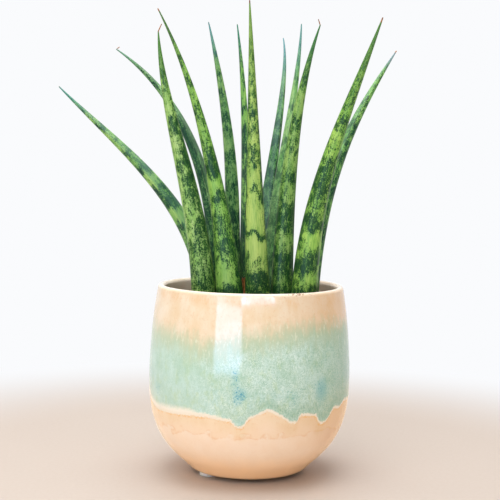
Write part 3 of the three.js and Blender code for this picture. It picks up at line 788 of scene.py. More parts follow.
def glaze_material():
    """The whole glaze: tan ground, green sheet over it, their edge, the lip and the inside."""
    made, tree, shader = new_material("reactive_glaze", IOR=1.52)
    on = glaze_patterns(tree)
    tan = tan_glaze(on)
    # Frost where the green starts, and a darker rim with streaks in the drips at the right
    sheet = mixed(ramp(on.depth, -7, 7), tan, green_glaze(on))
    frost = ramp(noise(on.place, 1.2, 2, 0.6, stretch=(1, 1, 3)), 0.56, 0.7)
    sheet = mixed(frost * bell(on.depth - 3, 10) * 0.45, sheet, "e8ecdc")
    rim = bell(on.drip - 4.2, 2.6) * ramp(on.across, -25, 15)
    sheet = mixed(rim * 0.4, sheet, "8fb299")
    streaks = ramp(noise(on.place, 0.8, 2, 0.6, stretch=(1, 1, 3)), 0.54, 0.64)
    streaks = streaks * bell(on.drip - 4, 4) * ramp(on.across, -15, 20)
    sheet = mixed(streaks * 0.6, sheet, "7ca48c")

    # The edge: cream where the green thins out, most at one side, and orange just below it
    edge = on.drip + (on.mottle - 0.5) * 2.8 + (on.cloud - 0.5) * 2.0 + (on.grit - 0.5) * 2.2
    thin = ramp(on.across + (on.cloud - 0.5) * 30, -12, -45)
    rust = bell(edge + 0.9, 0.55) * ramp(on.mottle + on.cloud, 0.88, 1.1)
    under = mixed(rust * 0.8, tan, "e9b87c")
    colour = mixed(ramp(edge, -0.9, 0.1), under, "ece5d8")
    colour = mixed(ramp(edge - thin * 1.2, 0.5, thin * 3.2 + 1.7), colour, sheet)

    # Inside, a paler tan, lightened as painted light on the shaded inner wall, then a pale crest where
    # the glaze is thin, brightened further as a painted highlight, and brown specks along the lip
    inner = mixed(ramp(on.cloud, 0.3, 0.7), "ffeadc", "fbdecc")
    colour = mixed(on.outside, inner, colour)
    colour = mixed(bell(on.height - 118.3, 1.3) * 0.85, colour, "fdf4ea")
    near_lip = bell(on.height - 117, 1.4)
    scorched = bell(length(on.place - SCORCHED_SPOT), 11.0) * near_lip
    specks = ramp(noise(on.place, 1.1, 2, 0.5) + scorched * 0.18, 0.67, 0.73) * near_lip
    colour = mixed(specks * 0.8, colour, "965a31")

    # The relief is calmer near the lip, so that reflections stay crisp there
    relief = on.runs * 0.5 + on.mottle * 0.25 + on.cloud * 1.2
    relief = relief * (1 - ramp(on.height, 86, 104) * 0.75)
    rough = ramp(on.mottle, 0.2, 0.8) * 0.06 + 0.05
    dress(shader, colour, rough, relief, bump=0.25, reach=0.35)
    return made


def clay_material():
    """Unglazed clay of the flat underside, grainy, with small dark dots."""
    made, tree, shader = new_material("bare_clay")
    place = object_place(tree)
    grain = noise(place, 0.7, 4, 0.7)
    cloud = noise(place, 9, 3, 0.5)
    dots = ramp(cells(place, 1.7), 0.16, 0.08)
    colour = mixed(ramp(cloud, 0.3, 0.7), "e6d8c4", "d8c5ab")
    colour = mixed(ramp(grain, 0.5, 0.8) * 0.5, colour, "f0e6d6")
    colour = mixed(dots * 0.5, colour, "a5876a")
    dress(shader, colour, ramp(grain, 0.2, 0.8) * 0.2 + 0.7, grain, bump=0.5, reach=0.2)
    return made


# Pads


def pad_piece(number, angle, rubber):
    """A rubber disc with rounded edges, stuck under the pot's foot."""
    profile = np.array([
        (2, -PAD_THICKNESS), (4, -PAD_THICKNESS), (5.5, -PAD_THICKNESS), (6.0, -2.42),
        (6.22, -2.2), (PAD_RADIUS, -1.9), (PAD_RADIUS, -0.7), (6.22, -0.35), (6.0, -0.12),
        (5.5, 0), (4, 0), (2, 0),
    ])
    rings = turned_rings(profile, PAD_SIDES)
    place = math.radians(angle)
    middle = PAD_RING_RADIUS * np.array([math.cos(place), math.sin(place)])
    rings[:, :, :2] += middle
    points, faces = skin_over(rings, (*middle, -PAD_THICKNESS), (*middle, 0))
    name = f"stick_on_pad_{number}"
    piece = new_piece(name, mesh_of(name, points, faces), rubber)
    finish_piece(piece, "pad", f"foot_pad_{number}")


def pad_material():
    """White rubber with fine pores and a little dust."""
    made, tree, shader = new_material(
        "white_pad_rubber", Subsurface_Weight=0.15, Subsurface_Scale=0.002
    )
    place = object_place(tree)
    pores = noise(place, 0.35, 3, 0.7)
    cloud = noise(place, 3, 2, 0.5)
    colour = mixed(ramp(cloud, 0.35, 0.7), "eef1f5", "e2e6ec")
    dust = ramp(noise(place, 0.9, 4, 0.75), 0.6, 0.75)
    colour = mixed(dust * 0.35, colour, "c9c2b6")
    dress(shader, colour, ramp(pores, 0.3, 0.7) * 0.2 + 0.45, pores, bump=0.35, reach=0.1)
    return made


# Leaves


def leaf_tree():
    """Geometry nodes that lay a channelled, tapering tube along a curve with two bends."""
    inputs = {
        "Root": "Vector", "First Bend": "Vector", "Second Bend": "Vector", "Tip": "Vector",
        "Width": "Float", "Fullness": "Float", "Channel": "Vector", "Dry End": "Vector",
        "Sides": "Int", "Steps": "Int", "Grooves": "Float", "Skin": "Material",
    }
    tree, given, end = new_group("leaf_form", "GeometryNodeTree", inputs, {"Leaf": "Geometry"})
    sheet = puts(tree, "GeometryNodeMeshGrid", {
        "Size X": 1.0, "Size Y": 1.0, "Vertices X": given["Sides"] + 1,
        "Vertices Y": given["Steps"] + 1,
    })
    axis = puts(tree, "GeometryNodeCurvePrimitiveBezierSegment", {
        "Resolution": AXIS_STEPS, "Start": given["Root"], "Start Handle": given["First Bend"],
        "End Handle": given["Second Bend"], "End": given["Tip"],
    }, mode="POSITION")
    whole = puts(tree, "GeometryNodeCurveLength", {0: axis})
    dry = length(given["Dry End"])
    across_sheet, up_sheet, _ = puts(tree, "GeometryNodeInputPosition").split()
    turn = across_sheet + 0.5
    rest = 0.5 - up_sheet
    # Rings crowd towards the tip, where the leaf is thin
    along = (whole + dry) * (1 - rest**1.35)
    from_tip = whole - along
    centre, growing = puts(
        tree, "GeometryNodeSampleCurve", {"Curves": axis, "Length": least(along, whole)},
        ("Position", "Tangent"), mode="LENGTH",
    )
    # The dry end goes on past the curve's tip, bent its own way
    beyond = held(-from_tip / dry)
    growing = unit(between(growing, unit(given["Dry End"]), ramp(beyond, 0, 0.5)))
    centre = centre + given["Dry End"] * beyond

    inward = given["Channel"]
    forward = unit(inward - growing * dot(inward, growing))
    sideways = cross(growing, forward)

    share = held(from_tip / whole)
    widest = WIDEST_HEIGHT - ROOT_HEIGHT
    taper = held(from_tip / (whole - widest * MM))
    taper = taper * (1 + given["Fullness"] * (1 - taper))
    buried = (SOIL_HEIGHT - ROOT_HEIGHT) * MM
    in_soil = ramp(from_tip - whole, -buried, 0)
    width = TIP_WIDTH * MM + (given["Width"] - TIP_WIDTH * MM) * taper
    width = width * (1 - in_soil * (1 - ROOT_SHARE)) * (1 - beyond * 0.3)
    # Both ends close in a round cap
    cap = TIP_WIDTH / 2 * MM
    nearing = held((along - (whole + dry - cap)) / cap)
    leaving = held(1 - along / (ROOT_CAP * MM))
    width = width * (1 - nearing**2) ** 0.5 * (1 - leaving**2) ** 0.5

    angle = turn * (2 * math.pi)
    cosine, sine = maths("COSINE", angle), maths("SINE", angle)
    off = least(turn, 1 - turn) * (360 / CHANNEL_HALF_ANGLE)
    dip = maths("COSINE", held(off) * (math.pi / 2)) ** 2
    reach = 1 - share * dip * CHANNEL_DEPTH
    # The channel's rims stand out, and fine grooves run up the rest, both less on a thin leaf
    size = held(width / (12 * MM))
    ridge = bell(off - 1.0, 0.085) * size * (RIM_HEIGHT * MM)
    groove = (maths("COSINE", angle * given["Grooves"]) * 0.5 + 0.5) * ramp(off, 1.0, 1.25)
    relief = ridge - groove * size * (GROOVE_DEPTH * MM)
    half_width = width / 2
    half_thick = half_width * (1 - share * FLATNESS)
    out = forward * cosine + sideways * sine
    point = centre + forward * (half_thick * cosine * reach)
    point = point + sideways * (half_width * sine * reach) + out * relief

    straight = xyz(tree, half_width * sine, half_thick * cosine, from_tip)
    shape = sheet
    for name, kind, value in (
        ("leaf_place", "FLOAT_VECTOR", straight),
        ("leaf_growing", "FLOAT_VECTOR", growing),
        ("off_channel", "FLOAT", off),
    ):
        node = put(tree, "GeometryNodeStoreNamedAttribute", {"Geometry": shape, "Name": name},
                   data_type=kind, domain="POINT")
        socket = next(s for s in node.inputs if s.name == "Value" and s.enabled)
        tree.links.new(value.socket, socket)
        shape = Flow(tree, node.outputs[0])
    shape = puts(tree, "GeometryNodeSetPosition", {"Geometry": shape, "Position": point})
    shape = puts(tree, "GeometryNodeMergeByDistance", {"Geometry": shape, "Distance": 1e-6})
    shape = puts(tree, "GeometryNodeSetShadeSmooth", {"Geometry": shape})
    shape = puts(tree, "GeometryNodeRealizeInstances", {"Geometry": shape})
    shape = puts(tree, "GeometryNodeSetMaterial", {"Geometry": shape, "Material": given["Skin"]})
    give(end, Leaf=shape)
    return tree


def vector_attribute(mesh, name):
    values = np.zeros(len(mesh.vertices) * 3, np.float32)
    mesh.attributes[name].data.foreach_get("vector", values)
    return values.reshape(-1, 3).astype(float)


def lay_marks(mesh, leaf, seed):
    """Works out how dark each point of a leaf is, from its list of marks."""
    from_tip = vector_attribute(mesh, "leaf_place")[:, 2] / MM
    growing = vector_attribute(mesh, "leaf_growing")
    normals = np.zeros(len(mesh.vertices) * 3, np.float32)
    mesh.vertex_normals.foreach_get("vector", normals)
    normals = normals.reshape(-1, 3)
    right = np.stack([growing[:, 2], 0 * growing[:, 2], -growing[:, 0]], 1)
    right /= np.linalg.norm(right, axis=1)[:, None] + 1e-9
    side = (normals * right).sum(1)
    # The marks run on round the back, a little further down
    back = np.clip(normals[:, 1], 0, 1)
    from_tip = from_tip - MARKS_DROP * back**1.5
    side = side * (1 - 1.6 * back)
    # Each band's edge runs in zigzags
    from_tip = from_tip + 1.7 * np.sin(3.1 * side + 0.23 * from_tip + seed)
    from_tip = from_tip + 1.1 * np.sin(7.3 * side - 0.17 * from_tip + 2 * seed)
    darkness = np.full(len(side), leaf["base"])
    for mark in leaf["marks"]:
        place, half, level, middle, spread, slant = mark + ALL_ROUND[len(mark) - 3:]
        off = (from_tip - place - slant * side) / half
        weight = np.exp(-(np.abs(off) ** 3)) * np.exp(-(((side - middle) / spread) ** 2))
        darkness = darkness * (1 - weight) + level * weight
    add_attribute(mesh, "darkness", darkness)
    mesh.attributes.remove(mesh.attributes["leaf_growing"])


def leaf_group():
    """Leaf skin: a pale ground, ragged dark bands, a smooth channel and dry edges and tip."""
    inputs = {
        "Pale": "Color", "Ground": "Color", "Fringe": "Color", "Dark": "Color",
        "Channel": "Color", "Channel Share": "Float", "Rim Share": "Float",
        "Dry": "Color", "Dry Length": "Float", "Tip": "Color", "Tip Length": "Float",
        "Seed": "Vector",
    }
    tree, given, end = skin_group("leaf_skin", inputs)
    straight = attribute(tree, "leaf_place", "Vector") * 1000.0
    from_tip = straight.split()[2]
    place = straight + given["Seed"]
    darkness = attribute(tree, "darkness")
    off = attribute(tree, "off_channel")

    blots = noise(place, 2.2, 2, 0.5, stretch=(1, 1, 1.7))
    flecks = noise(place, 0.5, 2, 0.7, stretch=(1, 1, 1.7))
    threads = noise(place, 0.7, 2, 0.55, stretch=(1, 1, 7))
    soft = darkness * 0.6 + (blots - 0.5) * 1.9 + (threads - 0.5) * 0.6
    fringe = ramp(soft, -0.45, 0.3)
    sharp = darkness * 0.7 + (blots - 0.5) * 1.6 + (flecks - 0.5) * 3.3 + (threads - 0.5) * 1.3
    dark = ramp(sharp, 0.0, 0.2)

    streaks = noise(place, 0.55, 3, 0.6, stretch=(1, 1, 16))
    wide = noise(place, 5, 2, 0.5, stretch=(1, 1, 3))
    ground = mixed(ramp(streaks * 0.6 + wide * 0.4, 0.4, 0.62), given["Ground"], given["Pale"])
    colour = mixed(fringe * 0.52, ground, given["Fringe"])
    deep = mixed(ramp(noise(place, 1.1, 2, 0.5, stretch=(1, 1, 3)), 0.45, 0.7) * 0.3,
                 given["Dark"], given["Fringe"])
    colour = mixed(dark, colour, deep)

    # The channel is smoother and bluer, its blue partly its own tone and partly a painted sheen,
    # and a papery line runs along each of its rims
    inside = ramp(off, 0.95, 0.6) * given["Channel Share"]
    colour = mixed(inside * ramp(wide, 0.1, 0.7), colour, given["Channel"])
    rim = bell(off - 1.0, 0.04) * ramp(from_tip, 4, 40) * ramp(wide, 0.4, 0.6)
    colour = mixed(held(rim) * given["Rim Share"], colour, "b9c08c")
    papery = bell(off - 1.0, 0.018) * ramp(threads, 0.5, 0.6)
    colour = mixed(held(papery) * given["Rim Share"], colour, "8a7a4c")

    # Towards the tip the pattern fades, and its last millimetres are dry
    fading = ramp(from_tip, given["Tip Length"], 0.0)
    colour = mixed(fading, colour, given["Tip"])
    dry = ramp(from_tip + (flecks - 0.5) * 1.6, given["Dry Length"], given["Dry Length"] - 1.2)
    brown = mixed(ramp(threads, 0.4, 0.6), given["Dry"], "6b4428")
    colour = mixed(dry, colour, brown)

    lines = noise(place, 0.42, 2, 0.5, stretch=(1, 1, 30))
    rough = 0.36 + lines * 0.14 + dry * 0.3 - dark * 0.04
    relief = lines * 0.8 + flecks * 0.25 + dark * 0.12
    give(end, Color=colour, Roughness=rough, Height=relief)
    return tree


# Each leaf's colours: pale streaks, ground, the bands' fringe and their dark middle, channel
# and tip. The leaves at the back take darker, bluer colours than those in front, which is
# painted shade, and a channel's bluer colour is partly its own tone and partly a painted sheen.
# Shares say how strongly the channel and its rims show. The tip's colour fades out, and its
# end is dry, over so many millimetres.
LIT_FRONT = dict(pale="a6c06c", ground="86ad56", fringe="5c9636", dark="1a4221")
# A darker, bluer copy of these colours for the leaves at the back: painted shade
SHADED_BACK = dict(pale="88b274", ground="69a45a", fringe="3f7f44", dark="183f2e")
LEAF_TINTS = {
    "leaf_01": dict(SHADED_BACK, pale="98bc66", ground="74a656", channel="5f8872", share=0.5,
                    tip="3f8074", fade=34, dry=0.8),
    "leaf_02": dict(SHADED_BACK, ground="5f8c4c", channel="7d9d78", share=0.4, tip="5d8a70", fade=26,
                    dry=0.6),
    "leaf_03": dict(LIT_FRONT, pale="abc97c", ground="8ab45c", tip="4f8038", fade=44, dry=1.0,
                    rim=0.6),
    "leaf_04": dict(LIT_FRONT, pale="98c05e", ground="78a94a", tip="4c6f38", fade=50, dry=2.4),
    "leaf_05": dict(SHADED_BACK, pale="8aac68", ground="639254", channel="7fa383", share=0.45,
                    tip="58898a", fade=34, dry=0.4),
    "leaf_06": dict(SHADED_BACK, pale="93bf62", ground="70a44d", share=0.05, tip="3f8068", fade=30,
                    dry=0.4),
    "leaf_07": dict(LIT_FRONT, pale="b1c96b", ground="8cb056", tip="6f9440", fade=50, dry=2.4),
    "leaf_08": dict(SHADED_BACK, channel="6f8f86", share=0.5, tip="5f9096", fade=40, dry=0.4),
    "leaf_09": dict(SHADED_BACK, pale="a4c87c", channel="84ab7c", share=0.4, tip="5c908c", fade=44,
                    dry=0.4),
    "leaf_10": dict(LIT_FRONT, pale="98b866", ground="78a04e", tip="3f7440", fade=44, dry=0.5,
                    rim=0.5),
    "leaf_11": dict(LIT_FRONT, pale="a4c85e", ground="7cae4a", tip="4f7a38", fade=60, dry=3.4,
                    rim=0.6),
    "leaf_12": dict(SHADED_BACK, pale="8fbf62", ground="6fa552", channel="86ab85", share=0.5,
                    tip="7f969e", fade=20, dry=2.0),
}


def leaf_material(name, group, number):
    """One leaf's skin: its own colours, and its own place in the noise."""
    tint = LEAF_TINTS[name]
    inputs = {
        "Pale": paint(tint["pale"]), "Ground": paint(tint["ground"]),
        "Fringe": paint(tint["fringe"]), "Dark": paint(tint["dark"]),
        "Channel": paint(tint.get("channel", "8fae7c")),
        "Channel Share": tint.get("share", 0.35), "Rim Share": tint.get("rim", 0.25),
        "Dry": paint("b0703c"), "Dry Length": tint["dry"],
        "Tip": paint(tint["tip"]), "Tip Length": tint["fade"],
        "Seed": (number * 17.0, number * 5.0, number * 31.0),
    }
    gloss = dict(IOR=1.4, Specular_IOR_Level=0.28)
    return skin_material(name + "_skin", group, inputs, bump=0.3, reach=0.16, **gloss)


def leaf_pieces():
    """Grows each leaf along its axis, lays its marks and puts it in place of its solid."""
    tree = leaf_tree()
    group = leaf_group()
    for number, (name, leaf) in enumerate(LEAVES.items(), 1):
        first, second = leaf["bends"]
        tip = Vector(leaf["tip"])
        hook = leaf.get("hook") or (tip - Vector(second)).normalized() * (TIP_WIDTH / 2)
        turn = math.radians(leaf["channel"])
        skin = leaf_material(name, group, number)
        mesh = made_by_nodes("mikado_" + name, tree, {
            "Root": Vector((*leaf["root"], ROOT_HEIGHT)) * MM,
            "First Bend": Vector(first) * MM, "Second Bend": Vector(second) * MM,
            "Tip": tip * MM, "Width": leaf["width"] * MM, "Fullness": leaf["fullness"],
            "Channel": Vector((math.cos(turn), math.sin(turn), 0)),
            "Dry End": Vector(hook) * MM, "Sides": LEAF_SIDES, "Steps": LEAF_STEPS,
            "Grooves": GROOVES, "Skin": skin,
        })
        lay_marks(mesh, leaf, number)
        piece = new_piece("mikado_" + name, mesh)
        finish_piece(piece, "leaf_front" if name in FRONT_LEAVES else "leaf_back", name)


# Soil


def waves(x, y):
    """The soil's gentle bumps, as in the part's source."""
    first = np.sin(0.23 * x + 1.1) * np.cos(0.19 * y - 0.4)
    return first + 0.6 * np.sin(0.41 * x - 0.37 * y)


def soil_base():
    """The soil's closed body, a hair clear of the pot's wall and floor, with an uneven top."""
    outer, along = wall_curve(SOIL_WALL_STEPS)
    inset = WALL_THICKNESS + SOIL_GAP
    wall = outer + inset * np.stack([-along[:, 1], along[:, 0]], 1)
    rim = np.interp(SOIL_HEIGHT, outer[:, 1] + WALL_THICKNESS * along[:, 0], wall[:, 0])
    bottom = FLOOR_HEIGHT + SOIL_GAP
    wall = wall[(wall[:, 1] > FLOOR_HEIGHT + 1) & (wall[:, 1] < SOIL_HEIGHT - 1)]
    outline = np.vstack([
        [(wall[0, 0] * 0.5, bottom), (wall[0, 0] - 3, bottom)], wall,
        [(radius, SOIL_HEIGHT) for radius in np.linspace(rim, 1.0, SOIL_RINGS)],
    ])
    rings = turned_rings(outline, SOIL_COLUMNS)
    x, y = rings[-SOIL_RINGS:, :, 0], rings[-SOIL_RINGS:, :, 1]
    rough = 0.35 * np.sin(1.1 * x + 0.7 * y) * np.cos(0.9 * y - 0.5 * x)
    rough += 0.25 * np.sin(2.1 * x - 1.3 * y + 0.6) * np.sin(1.9 * y + 0.4)
    rings[-SOIL_RINGS:, :, 2] += 0.9 * waves(x, y) + rough - 0.3
    middle = SOIL_HEIGHT + 0.9 * float(waves(0, 0))
    points, faces = skin_over(rings, (0, 0, bottom), (0, 0, middle))
    return mesh_of("potting_soil_base", points, faces)


def soil_tree():
    """Geometry nodes that strew crumbs, bark chips and white grit over the soil."""
    inputs = {
        "Soil": "Geometry", "Seed": "Int", "Earth": "Material",
        "Crumb Spacing": "Float", "Crumb Size": "Float", "Crumb": "Material",
        "Chip Spacing": "Float", "Chip Size": "Float", "Bark": "Material",
        "Grit Spacing": "Float", "Grit Size": "Float", "Grit": "Material",
    }
    tree, given, end = new_group("soil_strewing", "GeometryNodeTree", inputs, {"Out": "Geometry"})
    normal = puts(tree, "GeometryNodeInputNormal")
    height = puts(tree, "GeometryNodeInputPosition").split()[2]
    top = ramp(normal.split()[2], 0.3, 0.5) * ramp(height, 100 * MM, 100.5 * MM)
    pieces = [puts(tree, "GeometryNodeSetMaterial",
                   {"Geometry": given["Soil"], "Material": given["Earth"]})]
    crumb = puts(tree, "GeometryNodeMeshIcoSphere", {"Radius": 1.0, "Subdivisions": 1})
    chip = puts(tree, "GeometryNodeMeshCube", {
        "Size": (2.6, 1.3, 0.45), "Vertices X": 3, "Vertices Y": 2, "Vertices Z": 2,
    })
    grit = puts(tree, "GeometryNodeMeshIcoSphere", {"Radius": 1.0, "Subdivisions": 2})
    # Chips lie nearly flat, and the rest is turned any way. Each kind has seeds of its own.
    for number, (kind, form, skin, tilt) in enumerate((
        ("Crumb", crumb, "Crumb", 3.1), ("Chip", chip, "Bark", 0.55), ("Grit", grit, "Grit", 3.1),
    )):
        seed = given["Seed"] + number * 7
        spots = puts(tree, "GeometryNodeDistributePointsOnFaces", {
            "Mesh": given["Soil"], "Selection": top, "Distance Min": given[kind + " Spacing"],
            "Density Max": MOST_PER_SQUARE_METRE, "Seed": seed,
        }, distribute_method="POISSON")
        turn = puts(tree, "FunctionNodeRandomValue", {
            "Min": (-tilt, -tilt, -3.1), "Max": (tilt, tilt, 3.1), "Seed": seed,
        }, data_type="FLOAT_VECTOR")
        size = puts(tree, "FunctionNodeRandomValue", {
            "Min": (0.45, 0.45, 0.35), "Max": (1.15, 1.0, 0.9), "Seed": seed + 1,
        }, data_type="FLOAT_VECTOR") * given[kind + " Size"]
        placed = puts(tree, "GeometryNodeInstanceOnPoints", {
            "Points": spots, "Instance": form, "Rotation": turn, "Scale": size,
        })
        plain = puts(tree, "GeometryNodeRealizeInstances", {"Geometry": placed})
        # Each copy is pushed out of shape by noise at its own place
        at = puts(tree, "GeometryNodeInputPosition")
        push = puts(tree, "ShaderNodeTexNoise", {"Vector": at, "Scale": 700.0, "Detail": 1.0},
                    ("Color",))
        moved = (push - (0.5, 0.5, 0.5)) * (given[kind + " Size"] * 1.1)
        plain = puts(tree, "GeometryNodeSetPosition", {"Geometry": plain, "Offset": moved})
        pieces.append(puts(tree, "GeometryNodeSetMaterial",
                           {"Geometry": plain, "Material": given[skin]}))
    join = tree.nodes.new("GeometryNodeJoinGeometry")
    for piece in pieces:
        tree.links.new(piece.socket, join.inputs[0])
    joined = puts(tree, "GeometryNodeRealizeInstances", {"Geometry": Flow(tree, join.outputs[0])})
    give(end, Out=joined)
    return tree


def earth_group():
    """Crumbly stuff, by its two colours, the size of its grain and how dull it is."""
    inputs = {"Dark": "Color", "Light": "Color", "Grain Size": "Float", "Dullness": "Float"}
    tree, given, end = skin_group("crumbly_grain", inputs)
    place = object_place(tree)
    cloud = noise(place, given["Grain Size"] * 6, 3, 0.6)
    grain = noise(place, given["Grain Size"], 4, 0.7)
    colour = mixed(ramp(grain * 0.6 + cloud * 0.4, 0.36, 0.64), given["Dark"], given["Light"])
    rough = ramp(grain, 0.2, 0.8) * 0.12 + (given["Dullness"] - 0.1)
    give(end, Color=colour, Roughness=rough, Height=grain)
    return tree


def soil_piece():
    """The soil, with what lies strewn on it, each in its own crumbly material."""
    group = earth_group()
    skins = {}
    for use, name, dark, light, size, dullness, reach in (
        ("Earth", "dark_peat", "241811", "4a3423", 0.8, 0.95, 0.6),
        ("Crumb", "peat_crumbs", "2c1d13", "5a402a", 0.5, 0.95, 0.4),
        ("Bark", "bark_chips", "5b3a22", "96693f", 0.45, 0.85, 0.3),
        ("Grit", "white_grit", "d8d3c8", "f0ede6", 0.3, 0.8, 0.2),
    ):
        skins[use] = skin_material(name, group, {
            "Dark": paint(dark), "Light": paint(light), "Grain Size": size, "Dullness": dullness,
        }, bump=0.6, reach=reach)
    mesh = made_by_nodes("potting_soil", soil_tree(), {
        "Crumb Spacing": 1.9 * MM, "Crumb Size": 1.15 * MM, "Chip Spacing": 6.5 * MM,
        "Chip Size": 1.6 * MM, "Grit Spacing": 16 * MM, "Grit Size": 0.9 * MM, "Seed": 4, **skins,
    }, soil_base())
    finish_piece(new_piece("potting_soil", mesh), "soil", "soil")


# Rhizome and dry scale leaf


def fibre_group():
    """Dry, fibrous plant matter with threads, which the stretch makes longer, and growth rings."""
    inputs = {"Dark": "Color", "Light": "Color", "Stretch": "Vector", "Dullness": "Float"}
    tree, given, end = skin_group("dry_fibres", inputs)
    place = object_place(tree)
    threads = noise(place / given["Stretch"], 0.35, 4, 0.65)
    cloud = noise(place, 2.4, 3, 0.5)
    rings = noise(place, 1.2, 2, 0.5, stretch=(5, 5, 1))
    colour = mixed(ramp(threads * 0.65 + cloud * 0.35, 0.4, 0.62), given["Dark"], given["Light"])
    colour = mixed(ramp(rings, 0.58, 0.7) * 0.4, colour, given["Dark"])
    rough = ramp(threads, 0.3, 0.7) * 0.2 + (given["Dullness"] - 0.1)
    give(end, Color=colour, Roughness=rough, Height=threads)
    return tree


def fibrous(name, group, dark, light, dullness, stretch):
    """A dry material of fibres, from its two colours."""
    return skin_material(name, group, {
        "Dark": paint(dark), "Light": paint(light), "Stretch": stretch, "Dullness": dullness,
    }, bump=0.6, reach=0.2)


def scale_piece(group):
    """A dry scale leaf, cupped round its shoot, ribbed along its length and torn at its top."""
    foot, tip = np.array(SCALE_FOOT, float), np.array(SCALE_TIP, float)
    steps, sides = 60, 56
    angle = np.linspace(0, 2 * np.pi, sides, endpoint=False)
    rings = []
    for step in range(steps + 1):
        along = step / steps
        half_width = SCALE_WIDTH / 2 * math.sqrt(1 - SCALE_TAPER * along**2)
        x = half_width * np.cos(angle)
        curl = SCALE_CUP * np.cos(angle) ** 2
        ribs = SCALE_RIBS * np.cos(x * 7.5) * np.sign(np.sin(angle))
        # The top is torn: each thread of it ends at its own height
        torn = 1 + np.sin(9 * x / half_width + 1) * np.cos(4 * x)
        torn = 1 - SCALE_TEAR * along**4 * torn
        centre = foot + (tip - foot) * along
        z = foot[2] + (centre[2] - foot[2]) * torn
        thin = SCALE_THICKNESS / 2 * (1 - 0.35 * along)
        y = centre[1] + thin * np.sin(angle) - curl + ribs * np.abs(np.sin(angle)) ** 0.5
        rings.append(np.stack([centre[0] + x, y, z], 1))
    points, faces = skin_over(np.array(rings), rings[0].mean(0), rings[-1].mean(0))
    paper = fibrous("dry_leaf_paper", group, "7d3f1c", "d98a4e", 0.75, (1, 1, 14))
    piece = new_piece("papery_scale_leaf", mesh_of("papery_scale_leaf", points, faces), paper)
    finish_piece(piece, "dry_leaf", "dry_scale_leaf")


# Studio


def joined_shaders(tree, share, first, second, out):
    """The first shader, turning into the second as the share goes from 0 to 1."""
    both = put(tree, "ShaderNodeMixShader", {0: share})
    tree.links.new(first.outputs[0], both.inputs[1])
    tree.links.new(second.outputs[0], both.inputs[2])
    tree.links.new(both.outputs[0], out.inputs["Surface"])


def floor_material():
    """Plain and pale near the pot, and white far off."""
    made, tree, shader = new_material("pale_floor", Roughness=0.6)
    place = object_place(tree)
    speckle = noise(place, 2.5, 3, 0.6)
    far = length(place * (1.0, 1.0, 0.0))
    seen = puts(tree, "ShaderNodeLightPath", {}, ("Is Camera Ray",))
    colour = mixed(ramp(speckle, 0.3, 0.7), "bdafa4", "bbaca0")
    # The light that comes off the floor to the pot is warm
    colour = mixed(seen, "e0c8ae", colour)
    tree.links.new(colour.socket, shader.inputs["Base Color"])
    # Far off, the floor meets the white background with no line between them
    glow = put(tree, "ShaderNodeEmission", {"Color": paint(BACKGROUND), "Strength": 1.0})
    joined_shaders(tree, ramp(far, 190, 420), shader, glow, tree.nodes["Material Output"])
    return made


def floor_piece():
    """A wide round floor that the pads stand on."""
    sides, radii = 96, (200, 600, 1500, 6000)
    turns = np.linspace(0, 2 * np.pi, sides, endpoint=False)
    points = [(0, 0, -PAD_THICKNESS)]
    points += [(r * math.cos(t), r * math.sin(t), -PAD_THICKNESS) for r in radii for t in turns]
    side = np.arange(sides)
    after = (side + 1) % sides
    faces = np.stack([0 * side, 1 + side, 1 + after], 1).tolist()
    for ring in range(len(radii) - 1):
        low, high = 1 + ring * sides, 1 + (ring + 1) * sides
        faces += np.stack([low + side, high + side, high + after, low + after], 1).tolist()
    floor = new_piece("studio_floor", mesh_of("studio_floor", points, faces), floor_material())


def background():
    """White where the camera sees it, and a soft light that is brightest behind the plant."""
    world = bpy.data.worlds.new("studio")
    bpy.context.scene.world = world
    world.use_nodes = True
    tree = world.node_tree
    tree.nodes.clear()
    side, depth, up = puts(tree, "ShaderNodeTexCoord", {}, ("Generated",)).split()
    light = 0.37 - side * 0.12 + up * 0.08 + ramp(depth, 0.1, 0.6) * 0.58
    sky = mixed(held(light), "000000", "ffffff")
    seen = puts(tree, "ShaderNodeLightPath", {}, ("Is Camera Ray",))
    fill = put(tree, "ShaderNodeBackground", {"Color": sky, "Strength": 1.0})
    white = put(tree, "ShaderNodeBackground", {"Color": paint(BACKGROUND), "Strength": 1.0})
    joined_shaders(tree, seen, fill, white, put(tree, "ShaderNodeOutputWorld"))


def lights():
    """The windows show as bluish reflections, and their light is whiter once it has spread."""
    away = 755
    daylight = (0.42, 0.58, 0.94)
    window = soft_light("window", azimuth=-24, distance=away, low=24, high=250, width=400,
                        power=2.45, colour=daylight)
    window.visible_diffuse = False
    far_window = soft_light("far_window", azimuth=9.5, distance=away, low=268, high=284,
                            width=535, power=1.15, colour=daylight)
    far_window.visible_diffuse = False
    spread = soft_light("window_spread", azimuth=-13, distance=away, low=190, high=620,
                        width=400, power=1.85, colour=(0.97, 0.99, 1.0))
    spread.visible_glossy = False
    soft_light("left_fill", azimuth=-75, distance=1100, low=150, high=1000, width=900, power=0.45)
    soft_light("high_fill", azimuth=-25, distance=800, low=800, high=1500, width=900, power=4.3)
    new_lamp("overhead", width=900, power=15).location = (0, 0, 1300 * MM)


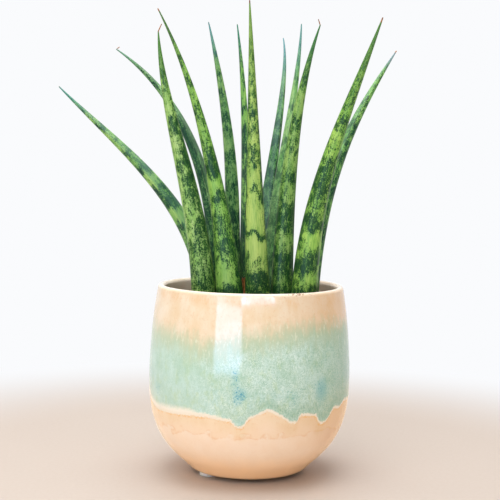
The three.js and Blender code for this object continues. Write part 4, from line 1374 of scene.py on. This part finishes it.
def new_lamp(name, width, power):
    """A soft square light at the origin that shines down."""
    light = bpy.data.lights.new(name, "AREA")
    light.size = width * MM
    light.energy = power
    lamp = bpy.data.objects.new(name, light)
    bpy.context.scene.collection.objects.link(lamp)
    return lamp


def soft_light(name, azimuth, distance, low, high, width, power, colour=(1, 1, 1)):
    """A soft rectangular light that stands round the pot and faces it. Low and high are heights."""
    lamp = new_lamp(name, width, power)
    lamp.data.shape = "RECTANGLE"
    lamp.data.size_y = (high - low) * MM
    lamp.data.color = colour
    turn = math.radians(azimuth)
    place = Vector((math.sin(turn) * distance, -math.cos(turn) * distance, (low + high) / 2))
    lamp.location = place * MM
    aim = Vector((0, 0, 100)) * MM
    lamp.rotation_euler = (aim - lamp.location).to_track_quat("-Z", "Y").to_euler()
    return lamp


def camera():
    """The fitted camera, built from the way it looks, so that its roll is exact."""
    data = bpy.data.cameras.new("camera")
    data.sensor_width = SENSOR
    data.lens = SENSOR * FOCAL_SHARE
    data.clip_start = 10 * MM
    data.clip_end = 50
    eye = bpy.data.objects.new("camera", data)
    bpy.context.scene.collection.objects.link(eye)
    pitch, yaw, roll = map(math.radians, (CAMERA_PITCH, CAMERA_YAW, CAMERA_ROLL))
    forward = Vector((math.sin(yaw) * math.cos(pitch), math.cos(yaw) * math.cos(pitch),
                      -math.sin(pitch)))
    level = Vector((math.cos(yaw), -math.sin(yaw), 0))
    upright = level.cross(forward)
    right = level * math.cos(roll) + upright * math.sin(roll)
    up = upright * math.cos(roll) - level * math.sin(roll)
    facing = Matrix((right, up, -forward)).transposed().to_4x4()
    eye.matrix_world = Matrix.Translation(Vector(CAMERA_PLACE) * MM) @ facing
    bpy.context.scene.camera = eye


camera()
floor_piece()
background()
lights()
bpy.context.scene.view_settings.view_transform = "Standard"

pot_piece(glaze_material(), clay_material())
rubber = pad_material()
for count, pad_angle in enumerate(PAD_ANGLES, 1):
    pad_piece(count, pad_angle, rubber)
soil_piece()
fibres = fibre_group()
scale_piece(fibres)
leaf_pieces()
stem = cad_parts["rhizome"].data
stem.materials.clear()
stem.materials.append(fibrous("rhizome_skin", fibres, "a8642f", "d9a05c", 0.8, (1, 1, 1)))
